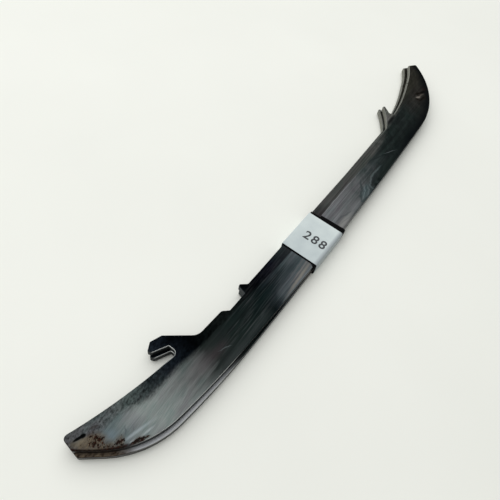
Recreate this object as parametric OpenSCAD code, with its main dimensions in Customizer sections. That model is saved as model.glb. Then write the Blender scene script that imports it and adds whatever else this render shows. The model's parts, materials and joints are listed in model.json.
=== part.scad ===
/* [Runner] */
// Length from toe tip to heel tip
runner_length = 288; // [272:1:304]
// Thickness of the steel
runner_thickness = 3; // [2.6:0.1:4]
// Depth of the working edge below the top edge, at the pivot point
runner_depth = 17; // [14:0.5:21]

/* [Working edge] */
// Radius of the long rocker
rocker_radius = 2500; // [1900:50:4000]
// Pivot point, where the rocker is lowest, from the toe tip
pivot_from_toe = 120.5; // [112:0.5:140]
// Place where the toe lead leaves the rocker, from the toe tip
lead_from_toe = 70; // [60:1:80]
// Radius of the toe lead
lead_radius = 400; // [300:10:520]
// Radius of the toe curve
toe_radius = 38; // [28:1:46]
// Slope of the straight toe face
toe_face_angle = 51; // [46:1:56]
// Length along the runner that the heel curve takes up
heel_run = 49.2; // [44:0.2:52]
// Radius of the heel curve
heel_radius = 64; // [60:1:72]

/* [Toe] */
// Height of the toe tip's lower corner above the top edge
toe_tip_low = 7; // [5:0.2:9]
// Height of the toe tip's upper corner above the top edge
toe_tip_high = 13; // [11:0.1:16]
// How far the toe tip's upper corner leans back from the lower one
toe_tip_lean = 1; // [0:0.1:2]
// Rounding of the toe tip's upper corner
toe_tip_round = 1.6; // [0.6:0.1:2.2]
// Radius of the hollow edge between toe tip and toe notch
toe_edge_radius = 220; // [120:5:500]

/* [Toe hook] */
// End wall of the toe notch, from the toe tip
toe_notch_from_toe = 48.7; // [44:0.1:54]
// Height of the toe notch's floor above the top edge
toe_notch_floor = 2.8; // [1.6:0.1:4]
// Height of the toe notch's end wall
toe_notch_wall = 4.3; // [3:0.1:5]
// Rounding at the foot of the toe notch's end wall
toe_notch_round = 1.8; // [0.6:0.1:2.2]
// Length of the toe hook's lower lip
toe_lip_length = 6.9; // [5:0.1:8]
// Rise of the lip towards the toe
toe_lip_angle = 26.5; // [20:0.5:30]
// Height of the toe hook's blunt nose
toe_nose_height = 1.8; // [1:0.1:2.4]
// Height of the toe hook above the top edge
toe_hook_height = 13.8; // [13:0.1:16]
// Distance of the toe hook's crown from the notch's end wall
toe_crown_reach = 3.4; // [2:0.1:4.4]
// Distance of the toe hook's shoulder behind the notch's end wall
toe_shoulder_reach = 1.5; // [0.8:0.1:3]
// Drop from the crown to the shoulder
toe_shoulder_drop = 1.7; // [0.8:0.1:2.4]
// Slope of the toe hook's back
toe_back_angle = 50; // [44:1:60]

/* [Top edge] */
// Height of the land's rear end above the top edge
land_height = 0.8; // [0.4:0.1:1.6]
// Rise of the land from its rear end to the foot of the toe hook
land_rise = 0.5; // [0:0.1:1]
// Fillet between the toe hook's back and the land
land_fillet = 5; // [3:0.5:8]
// End of the land, from the toe tip
land_end_from_toe = 73.4; // [72:0.1:76]
// Depth of the recess behind the land below the top edge
recess_depth = 1.7; // [0.8:0.1:2.4]
// Foot of the locating nub's front wall, from the toe tip
nub_from_toe = 86.3; // [84:0.1:90]
// Height of the nub above the top edge
nub_height = 2.5; // [1.5:0.1:4]
// How far the nub's front wall leans back over its height
nub_lean = 1.1; // [0:0.1:2]
// Width of the nub's tip
nub_tip_width = 1; // [0.9:0.1:3]
// Length of the slope behind the nub
nub_foot = 2.3; // [1.2:0.1:4]

/* [Heel hook] */
// Foot of the heel hook's back, from the heel tip
heel_foot_from_heel = 66.4; // [62:0.1:72]
// Radius of the heel hook's hollow back
heel_back_radius = 65; // [40:1:120]
// Tip of the heel hook, from the heel tip
heel_hook_from_heel = 49.7; // [48:0.1:52]
// Height of the heel hook above the top edge
heel_hook_height = 10; // [8.5:0.1:12]
// Width of the heel hook's blunt tip
heel_hook_tip = 1.9; // [1.4:0.1:2.6]
// End wall of the heel notch, from the heel tip
heel_notch_from_heel = 53.6; // [52.8:0.1:55]
// Height of the heel notch's floor above the top edge
heel_notch_floor = 2.2; // [1.2:0.1:3]
// Height of the heel notch's end wall
heel_notch_wall = 2.5; // [1.8:0.1:3.2]

/* [Heel] */
// Radius of the hollow edge behind the heel notch
heel_edge_radius = 160; // [100:5:300]
// Corner in the heel's hollow edge, from the heel tip
heel_kink_from_heel = 20.8; // [18:0.1:26]
// Height of that corner above the top edge
heel_kink_height = 9.4; // [8.4:0.1:10.2]
// Radius of the hollow edge between that corner and the heel tip
heel_tip_edge_radius = 70; // [40:1:120]
// Width of the blunt heel tip
heel_tip_width = 5.3; // [4.4:0.1:6]
// Rounding of the heel tip's corners
heel_tip_round = 1.2; // [0.6:0.1:1.7]

/* [Binding band] */
// Middle of the band, from the toe tip
band_from_toe = 129.3; // [122:0.1:170]
// Width of the band along the runners
band_width = 24.6; // [18:0.1:32]
// Thickness of the band
band_thickness = 0.3; // [0.2:0.05:0.8]
// Room between the band and the runners where they come nearest
fit_gap = 0.05; // [0.03:0.01:0.2]
// Extra room that the band keeps as it bends round the working edges
edge_ease = 0.35; // [0.2:0.05:1]
// How far the band's last lap stands out past its heel side
lap_step = 1.6; // [0.4:0.1:3]
// Distance of the last lap's end below the top edge
lap_end_depth = 4.8; // [3:0.1:12]
// How far the first lap stands out past its toe side at the working edge
lap_corner = 1.4; // [0.6:0.1:3]

/* [Label] */
// Width of the label strip along the runners
label_width = 24; // [14:0.5:24.5]
// Thickness of the label strip
label_thickness = 0.15; // [0.1:0.01:0.4]
// Gap between the label's two ends, under the pair
label_seam = 1.4; // [0.6:0.1:3]
// Distance of that gap below the top edge
label_seam_depth = 3.2; // [2:0.1:6]
// Room for the adhesive between band and label
glue_gap = 0.03; // [0.02:0.01:0.1]

/* [Pair] */
// Turn of the lower runner against the upper one, inside the band
fan_angle = 0.9; // [-1:0.1:1]
// Largest turn that the band's slack allows to either side
fan_limit = 1; // [1:0.1:2]

/* [Hidden] */

// Small roundings left by the blanking die
die_round = 0.4;
soft_round = 0.8;
land_round = 2;
// Slope of the land's end
land_end_angle = 45;
// Lean of the toe hook's nose and of the heel notch's end wall
nose_lean = 20;
wall_lean = 14;
// Facets of a bend in the band
bend_facets = 48;
// Overshoot of cutting boxes
over = 1;

// Height of the lower runner above the surface that the label rests on
wrap = band_thickness + glue_gap + label_thickness;
// Inside of the loop: its height, its slack beside each edge of the runners, and half its width
stack = 2 * runner_thickness + fit_gap;
fan_sweep = band_width / 2 * sin(fan_limit);
top_slack = fan_sweep + fit_gap;
edge_slack = fan_sweep + fit_gap + edge_ease;
loop_half = (runner_depth + edge_slack + top_slack) / 2;
// Distance of the loop's middle line below the top edge
loop_middle = loop_half - top_slack;

// Points of an arc about c from angle a to angle b, in n steps
function arc(c, r, a, b, n) =
  [for (i = [0 : n]) c + r * [cos(a + (b - a) * i / n), sin(a + (b - a) * i / n)]];

// Inner points of a shallow arc from p to q that sinks towards the right of the way
function bow(p, q, r, n) =
  let (half = norm(q - p) / 2,
       along = (q - p) / (2 * half),
       side = [-along[1], along[0]],
       middle = (p + q) / 2 + side * sqrt(r * r - half * half),
       a = atan2(p[1] - middle[1], p[0] - middle[0]),
       sweep = 2 * asin(half / r),
       all_points = arc(middle, r, a, a + sweep, n))
  [for (i = [1 : n - 1]) all_points[i]];

// A corner [x, y, r] between two neighbours, rounded by r
function rounded_corner(before, corner, after, n) =
  let (q = [corner[0], corner[1]],
       r = corner[2],
       u = ([before[0], before[1]] - q) / norm([before[0], before[1]] - q),
       v = ([after[0], after[1]] - q) / norm([after[0], after[1]] - q),
       half = acos(u * v) / 2,
       middle = q + (u + v) / norm(u + v) * r / sin(half),
       start = q + u * r / tan(half),
       end = q + v * r / tan(half),
       a = atan2(start[1] - middle[1], start[0] - middle[0]),
       b = atan2(end[1] - middle[1], end[0] - middle[0]),
       turn = (b - a + 540) % 360 - 180)
  arc(middle, r, a, a + turn, n);

// A closed outline: corners [x, y, r] are rounded, plain points [x, y] stay
function rounded_outline(corners, n) =
  let (count = len(corners))
  [for (i = [0 : count - 1])
    each len(corners[i]) == 3
      ? rounded_corner(corners[(i + count - 1) % count], corners[i], corners[(i + 1) % count], n)
      : [corners[i]]];

// Direction from a curve's centre to its point whose slope is a, falling towards the toe side
function toe_ray(a) = [-sin(a), -cos(a)];
function heel_ray(a) = [sin(a), -cos(a)];

// Working edge: rocker, toe lead, toe curve and heel curve, each tangent to the next
rocker_centre = [pivot_from_toe, rocker_radius - runner_depth];
lead_slope = asin((pivot_from_toe - lead_from_toe) / rocker_radius);
lead_centre = rocker_centre + (rocker_radius - lead_radius) * toe_ray(lead_slope);
toe_corner = [0, toe_tip_low];
face_way = [cos(toe_face_angle), -sin(toe_face_angle)];
face_offset = toe_corner - toe_radius * toe_ray(toe_face_angle) - lead_centre;
face_along = face_offset * face_way;
face_length = -face_along
  + sqrt(pow(face_along, 2) - face_offset * face_offset + pow(lead_radius - toe_radius, 2));
toe_centre = face_offset + lead_centre + face_length * face_way;
toe_slope = atan2(lead_centre[0] - toe_centre[0], lead_centre[1] - toe_centre[1]);
heel_slope = asin((runner_length - heel_run - pivot_from_toe) / rocker_radius);
heel_centre = rocker_centre + (rocker_radius - heel_radius) * heel_ray(heel_slope);
// The heel curve runs on by what the rounded tip loses, so that the runner keeps its length
heel_plain_slope = asin((runner_length - heel_centre[0]) / heel_radius);
heel_tip_cut = heel_tip_round * (sin(heel_plain_slope) + cos(heel_plain_slope) - 1);
heel_tip_slope = asin((runner_length + heel_tip_cut - heel_centre[0]) / heel_radius);
heel_corner = heel_centre + heel_radius * heel_ray(heel_tip_slope);
heel_top = heel_corner - heel_tip_width * heel_ray(heel_tip_slope);

// Facets along each stretch of the working edge
heel_facets = 24;
rocker_facets = 24;
lead_facets = 8;
toe_facets = 14;
heel_curve = arc(heel_centre, heel_radius, heel_tip_slope - 90, heel_slope - 90, heel_facets);
working_edge = concat(
  [for (i = [1 : heel_facets]) heel_curve[i]],
  arc(rocker_centre, rocker_radius, heel_slope - 90, -90 - lead_slope, rocker_facets),
  arc(lead_centre, lead_radius, -90 - lead_slope, -90 - toe_slope, lead_facets),
  arc(toe_centre, toe_radius, -90 - toe_slope, -90 - toe_face_angle, toe_facets));

// Toe hook, from the notch's end wall round the nose to the land
toe_wall_foot = [toe_notch_from_toe, toe_notch_floor];
toe_wall_head = toe_wall_foot + [0, toe_notch_wall];
toe_lip_end = toe_wall_head + toe_lip_length * [-cos(toe_lip_angle), sin(toe_lip_angle)];
toe_nose = toe_lip_end + toe_nose_height * [-sin(nose_lean), cos(nose_lean)];
toe_crown = [toe_notch_from_toe - toe_crown_reach, toe_hook_height];
toe_shoulder = [toe_notch_from_toe + toe_shoulder_reach, toe_hook_height - toe_shoulder_drop];
land_front = land_height + land_rise;
land_start = [toe_shoulder[0] + (toe_shoulder[1] - land_front) / tan(toe_back_angle), land_front];
land_end = [land_end_from_toe, land_height];
recess_start = land_end + (land_height + recess_depth) * [1 / tan(land_end_angle), -1];

// Heel hook, from its foot over the tip to the notch's floor
heel_foot = [runner_length - heel_foot_from_heel, 0];
heel_tip_front = [runner_length - heel_hook_from_heel - heel_hook_tip, heel_hook_height];
heel_tip_back = heel_tip_front + [heel_hook_tip, 0];
heel_wall_head = [runner_length - heel_notch_from_heel, heel_notch_floor + heel_notch_wall];
heel_wall_foot = heel_wall_head + heel_notch_wall * [tan(wall_lean), -1];
heel_kink = [runner_length - heel_kink_from_heel, heel_kink_height];

function cornered(p, r) = [p[0], p[1], r];
edge_steps = 10;
toe_top = [toe_tip_lean, toe_tip_high];
nub_tip = nub_from_toe + nub_lean;
hook_side = concat(
  [cornered(toe_corner, soft_round), cornered(toe_top, toe_tip_round)],
  bow(toe_top, toe_wall_foot, toe_edge_radius, edge_steps),
  [cornered(toe_wall_foot, toe_notch_round),
   cornered(toe_wall_head, die_round),
   cornered(toe_lip_end, die_round),
   cornered(toe_nose, die_round),
   cornered(toe_crown, soft_round),
   cornered(toe_shoulder, soft_round),
   cornered(land_start, land_fillet),
   cornered(land_end, land_round),
   cornered(recess_start, soft_round),
   [nub_from_toe, -recess_depth, die_round],
   [nub_tip, nub_height, die_round],
   [nub_tip + nub_tip_width, nub_height, die_round],
   [nub_tip + nub_tip_width + nub_foot, 0, soft_round],
   heel_foot],
  bow(heel_foot, heel_tip_front, heel_back_radius, edge_steps),
  [cornered(heel_tip_front, die_round),
   cornered(heel_tip_back, soft_round),
   cornered(heel_wall_head, soft_round),
   cornered(heel_wall_foot, soft_round)],
  bow(heel_wall_foot, heel_kink, heel_edge_radius, edge_steps),
  [heel_kink],
  bow(heel_kink, heel_top, heel_tip_edge_radius, edge_steps),
  [cornered(heel_top, heel_tip_round), cornered(heel_corner, heel_tip_round)]);

corner_steps = 5;
runner_outline = rounded_outline(concat(hook_side, working_edge), corner_steps);

// One flat steel runner, its underside at z = 0, placed so that the band's middle is the origin
module runner() {
  translate([-band_from_toe, loop_middle, 0])
    linear_extrude(runner_thickness)
      polygon(runner_outline);
}

module upper_runner() {
  color("#3a4042")
    translate([0, 0, wrap + runner_thickness])
      runner();
}

module lower_runner() {
  color("#4a5052")
    translate([0, 0, wrap])
      rotate(fan_angle)
        runner();
}

// Section of a wrap whose face stands off the loop's inside by a distance
module wrap_section(stand_off) {
  half = loop_half + stand_off;
  low = wrap - stand_off;
  height = stack + 2 * stand_off;
  top_r = stand_off;
  edge_r = edge_ease + stand_off;
  translate([-half, low + edge_r])
    square([half, height - 2 * edge_r]);
  translate([edge_r - half, low])
    square([2 * half - edge_r - top_r, height]);
  translate([0, low + top_r])
    square([half, height - 2 * top_r]);
  for (z = [low + edge_r, low + height - edge_r])
    translate([edge_r - half, z])
      circle(edge_r, $fn = bend_facets);
  if (top_r > 0)
    for (z = [low + top_r, low + height - top_r])
      translate([half - top_r, z])
        circle(top_r, $fn = bend_facets);
}

// A strip from x0 to x1 that wraps the loop between two stand-off distances
module wrap_strip(x0, x1, inner, outer) {
  translate([x0, 0, 0])
    rotate([90, 0, 90])
      linear_extrude(x1 - x0)
        difference() {
          wrap_section(outer);
          wrap_section(inner);
        }
}

// Black tape wound round the pair, its laps a little out of line
module binding_band() {
  half = band_width / 2;
  side = 2 * (loop_half + band_thickness);
  mid_z = wrap + runner_thickness;
  color("#0d0d0e") {
    wrap_strip(-half, half, 0, band_thickness);
    intersection() {
      wrap_strip(half, half + lap_step, 0, band_thickness);
      translate([half - over, loop_middle - lap_end_depth - side, mid_z])
        cube([lap_step + 2 * over, side, stack]);
    }
    intersection() {
      wrap_strip(-half - lap_corner, -half, 0, band_thickness);
      translate([-half - lap_corner - over, loop_middle - runner_depth - edge_slack - side, mid_z])
        cube([lap_corner + 2 * over, side, stack]);
    }
  }
}

// White strip stuck over the band, its two ends apart under the pair
module label() {
  color("#cfd8dc")
    difference() {
      wrap_strip(-label_width / 2, label_width / 2, band_thickness + glue_gap, wrap);
      translate([-label_width / 2 - over, loop_middle - label_seam_depth - label_seam, -over])
        cube([label_width + 2 * over, label_seam, over + label_thickness + glue_gap / 2]);
    }
}

upper_runner();
lower_runner();
binding_band();
label();
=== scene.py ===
import json
import math
import bmesh
import bpy
from mathutils import Matrix, Vector


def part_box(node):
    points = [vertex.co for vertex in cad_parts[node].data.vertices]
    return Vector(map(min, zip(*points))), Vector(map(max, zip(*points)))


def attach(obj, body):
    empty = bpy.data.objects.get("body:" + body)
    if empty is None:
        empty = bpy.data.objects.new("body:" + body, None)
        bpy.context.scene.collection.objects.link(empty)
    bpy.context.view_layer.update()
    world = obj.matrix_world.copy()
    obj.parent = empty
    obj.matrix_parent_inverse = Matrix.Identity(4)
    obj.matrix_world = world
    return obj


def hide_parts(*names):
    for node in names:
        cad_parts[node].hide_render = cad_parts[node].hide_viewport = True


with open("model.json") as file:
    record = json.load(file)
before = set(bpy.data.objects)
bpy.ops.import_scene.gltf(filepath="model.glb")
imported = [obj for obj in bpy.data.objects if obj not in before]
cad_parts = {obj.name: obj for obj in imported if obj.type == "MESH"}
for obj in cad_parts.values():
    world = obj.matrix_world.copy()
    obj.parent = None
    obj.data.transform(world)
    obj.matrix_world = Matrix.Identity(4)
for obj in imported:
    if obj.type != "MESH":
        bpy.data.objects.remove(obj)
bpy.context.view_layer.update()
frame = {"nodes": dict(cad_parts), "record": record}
scene = bpy.context.scene
scene.view_settings.view_transform = "Standard"
mm = 0.001
mounts = {m["name"]: m for m in frame["record"]["mounts"]}
topEdge = mounts["upper_top_edge"]["pos_m"][1]  # height of the straight top edge
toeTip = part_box("upper_runner")[0].x
runnerLength = (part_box("upper_runner")[1].x - toeTip) / mm
fanAxis = mounts["lower_top_edge"]["axis"]
fanTurn = math.atan2(-fanAxis[0], fanAxis[1])  # turn of the lower runner at rest
print("frame loaded:", sorted(frame["nodes"]))

# Node settings that come up again and again
smooth = {"interpolation_type": "SMOOTHSTEP"}
ownFrame = {"vector_type": "TEXTURE"}  # mapping by a pattern's own place, turn and size
colours = {"data_type": "RGBA"}  # a Mix node takes them at sockets 6 and 7
numbers = {"data_type": "FLOAT"}  # and these at 2 and 3
vectors = {"data_type": "FLOAT_VECTOR"}
product = {"operation": "MULTIPLY"}
clamped = {"operation": "MULTIPLY", "use_clamp": True}
productSum = {"operation": "MULTIPLY_ADD"}
total = {"operation": "ADD"}
difference = {"operation": "SUBTRACT"}
quotient = {"operation": "DIVIDE"}
larger = {"operation": "MAXIMUM"}
scaledBy = {"operation": "SCALE"}
noiseRange = (0.3, 0.7)  # where most of a noise's values lie


def between(start, end, low=0, high=1):  # sockets of a value that goes from low to high
    return {"From Min": start, "From Max": end, "To Min": low, "To Max": high}


def linear(code):  # sRGB hex to the linear colour that shaders take
    values = [int(code[i:i + 2], 16) / 255 for i in (1, 3, 5)]
    return tuple(v / 12.92 if v <= 0.04045 else ((v + 0.055) / 1.055) ** 2.4 for v in values) + (1,)


def addNode(tree, kind, settings=None, links=None):  # kind: a node or its type, short for shaders
    prefix = "ShaderNode" if tree.bl_idname == "ShaderNodeTree" else ""
    made = kind if isinstance(kind, bpy.types.Node) else tree.nodes.new(prefix + kind)
    for name, value in (settings or {}).items():
        if name == "stops":  # colour ramp: place and hex colour
            while len(made.color_ramp.elements) < len(value):
                made.color_ramp.elements.new(1)
            for stop, (place, colour) in zip(made.color_ramp.elements, value):
                stop.position = place
                stop.color = linear(colour)
        elif name == "points":  # float curve: x and y
            while len(made.mapping.curves[0].points) < len(value):
                made.mapping.curves[0].points.new(1, 1)
            for point, place in zip(made.mapping.curves[0].points, value):
                point.location = place
            made.mapping.update()
        else:
            setattr(made, name, value)
    for name, value in (links or {}).items():
        if isinstance(value, bpy.types.Node):
            value = next(o for o in value.outputs if o.enabled)
        if isinstance(value, bpy.types.NodeSocket):
            tree.links.new(value, made.inputs[name])
        else:
            made.inputs[name].default_value = value
    return made


def newMaterial(name):
    material = bpy.data.materials.new(name)
    material.use_nodes = True
    return material, material.node_tree, material.node_tree.nodes["Principled BSDF"]


def cloudyMaterial(name, look):  # tones that vary over clouds of a size in mm
    material, tree, shader = newMaterial(name)
    place = addNode(tree, "TexCoord").outputs["Object"]
    cloud = addNode(tree, "TexNoise", None, {
        "Vector": place, "Scale": 1 / (look["cloud"] * mm), "Detail": 3})
    tone = addNode(tree, "ValToRGB", {"stops": look["tones"]}, {"Fac": cloud})
    addNode(tree, shader, None, {"Base Color": tone, **look["surface"]})
    return material


def newObject(name, data):
    made = bpy.data.objects.new(name, data)
    scene.collection.objects.link(made)
    return made


def newPiece(name, mesh, body, node=None):
    piece = newObject(name, mesh)
    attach(piece, body)
    if node:
        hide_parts(node)
    print(name, "built:", len(mesh.polygons), "faces")
    return piece


def frozen(source, name):  # plain mesh of an object with its modifiers applied
    depsgraph = bpy.context.evaluated_depsgraph_get()
    mesh = bpy.data.meshes.new_from_object(source.evaluated_get(depsgraph), depsgraph=depsgraph)
    mesh.name = name
    bpy.data.objects.remove(source)
    return mesh


def geometryTree(name, inputs, output):  # empty tree with named sockets
    tree = bpy.data.node_groups.new(name, "GeometryNodeTree")
    for socket, kind in inputs.items():
        tree.interface.new_socket(socket, in_out="INPUT", socket_type="NodeSocket" + kind)
    tree.interface.new_socket(output, in_out="OUTPUT", socket_type="NodeSocketGeometry")
    return tree, addNode(tree, "NodeGroupInput").outputs


def endTree(tree, shape, surface, output):
    whole = addNode(tree, "GeometryNodeRealizeInstances", None, {"Geometry": shape})
    dressed = addNode(tree, "GeometryNodeSetMaterial", None, {"Geometry": whole, "Material": surface})
    addNode(tree, "NodeGroupOutput", None, {output: dressed})
    return tree


def grown(source, tree, values, name):  # plain mesh that a tree makes of an object
    modifier = source.modifiers.new(name, "NODES")
    modifier.node_group = tree
    sockets = {s.name: s.identifier for s in tree.interface.items_tree if s.in_out == "INPUT"}
    for socket, value in values.items():
        modifier[sockets[socket]] = value
    return frozen(source, name)


# Camera, at the place the photo was taken from
photo = {
    "eye": (-137.94, -37.44, 189.35),  # mm
    "aim": (-24.12, 18.25, 6.48),  # mm, where the middle of the picture meets the steel
    "roll": 12.31,  # degrees
    "focalPixels": 502.5,
    "pixels": 500,
    "near": 10,  # mm, nothing closer is drawn
}
camera = newObject("camera", bpy.data.cameras.new("camera"))
eye = Vector(photo["eye"]) * mm
level = (Vector(photo["aim"]) * mm - eye).to_track_quat("-Z", "Y").to_matrix()
rolled = level @ Matrix.Rotation(math.radians(photo["roll"]), 3, "Z")
camera.matrix_world = Matrix.Translation(eye) @ rolled.to_4x4()
camera.data.lens = camera.data.sensor_width * photo["focalPixels"] / photo["pixels"]
camera.data.clip_start = photo["near"] * mm
scene.camera = camera
print("camera placed")

# Light and floor
studio = {
    "world": "#acadac",
    "softbox": {"at": (600, 1500, 1400), "size": 3600, "power": 48},  # mm, watts
    "floorHalf": 3000,  # mm
    "paint": {
        "tones": [(0.3, "#f0f1ea"), (0.7, "#f4f5ee")],
        "cloud": 1000 / 9,  # mm, nine clouds to a metre
        "surface": {"Roughness": 0.6},
    },
}
scene.world = bpy.data.worlds.new("studio")
scene.world.use_nodes = True
scene.world.node_tree.nodes["Background"].inputs["Color"].default_value = linear(studio["world"])
lamp = bpy.data.lights.new("softbox", "AREA")
lamp.size = studio["softbox"]["size"] * mm
lamp.energy = studio["softbox"]["power"]
softbox = newObject("softbox", lamp)
softbox.location = Vector(studio["softbox"]["at"]) * mm

half = studio["floorHalf"] * mm
floorMesh = bpy.data.meshes.new("floor")
corners = [(-half, -half, 0), (half, -half, 0), (half, half, 0), (-half, half, 0)]
floorMesh.from_pydata(corners, [], [(0, 1, 2, 3)])
floor = newObject("floor", floorMesh)
# Rolled satin paint: nearly even, a very slight cloudiness
floorMesh.materials.append(cloudyMaterial("satin table paint, rolled", studio["paint"]))
print("studio ready")


# Runner steel. Patterns are laid out in mm in the runner's own frame: x from the toe, y from the top edge.
def runnerPlace(tree, turn):
    place = addNode(tree, "TexCoord").outputs["Object"]
    place = addNode(tree, "Mapping", None, {
        "Vector": place, "Location": (-toeTip / mm, -topEdge / mm, 0), "Rotation": (0, 0, -turn),
        "Scale": (1 / mm,) * 3})
    along = addNode(tree, "SeparateXYZ", None, {0: place}).outputs
    return place, along["X"], along["Y"]


def grain(tree, place, size, span, turn=0, detail=4, swirl=0, rough=0.6):  # noise of a size in mm
    drawn = addNode(tree, "Mapping", ownFrame, {
        "Vector": place, "Rotation": (0, 0, math.radians(turn)), "Scale": (size + size[-1:])[:3]})
    noise = addNode(tree, "TexNoise", None, {
        "Vector": drawn, "Scale": 1, "Detail": detail, "Roughness": rough, "Distortion": swirl})
    return addNode(tree, "MapRange", None, {"Value": noise, **between(*noiseRange, *span)})


def oval(at, size, share, tone=None, turn=0, soft=0.8):  # a mark: middle, half size in mm, degrees
    return {"at": at, "size": size, "share": share, "tone": tone, "turn": turn, "soft": soft}


def stroke(points, width, share, tone, soft=0.7, overlap=0.6):  # ovals along a line through points in mm
    ovals = []
    for start, end in zip(points, points[1:]):
        way = Vector(end) - Vector(start)
        middle = tuple(Vector(start) + way / 2)
        turn = math.degrees(math.atan2(way.y, way.x))
        ovals.append(oval(middle, (way.length * overlap, width), share, tone, turn, soft))
    return ovals


def spot(tree, place, mark, depth=1000):  # share of a mark, fading over its soft edge
    drawn = addNode(tree, "Mapping", ownFrame, {
        "Vector": place, "Location": mark["at"] + (0,), "Rotation": (0, 0, math.radians(mark["turn"])),
        "Scale": mark["size"] + (depth,)})
    away = addNode(tree, "VectorMath", {"operation": "LENGTH"}, {0: drawn})
    edge = between(1 + mark["soft"], 1 - mark["soft"], high=mark["share"])
    return addNode(tree, "MapRange", smooth, {"Value": away, **edge})


def withMarks(tree, colour, place, marks):
    for mark in marks:
        colour = addNode(tree, "Mix", colours, {
            0: spot(tree, place, mark), 6: colour, 7: linear(mark["tone"])})
    return colour


def tonesAlong(tree, x, tones):  # colour by mm from the toe
    share = addNode(tree, "Math", quotient, {0: x, 1: runnerLength})
    stops = [(at / runnerLength, colour) for at, colour in tones]
    return addNode(tree, "ValToRGB", {"stops": stops}, {"Fac": share})


def heightAlong(tree, x, line, low=-20, high=20):  # a line's height in mm by mm from the toe
    points = [(at / runnerLength, (up - low) / (high - low)) for at, up in line]
    share = addNode(tree, "Math", quotient, {0: x, 1: runnerLength})
    height = addNode(tree, "FloatCurve", {"points": points}, {"Value": share})
    return addNode(tree, "Math", productSum, {0: height, 1: high - low, 2: low})


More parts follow.
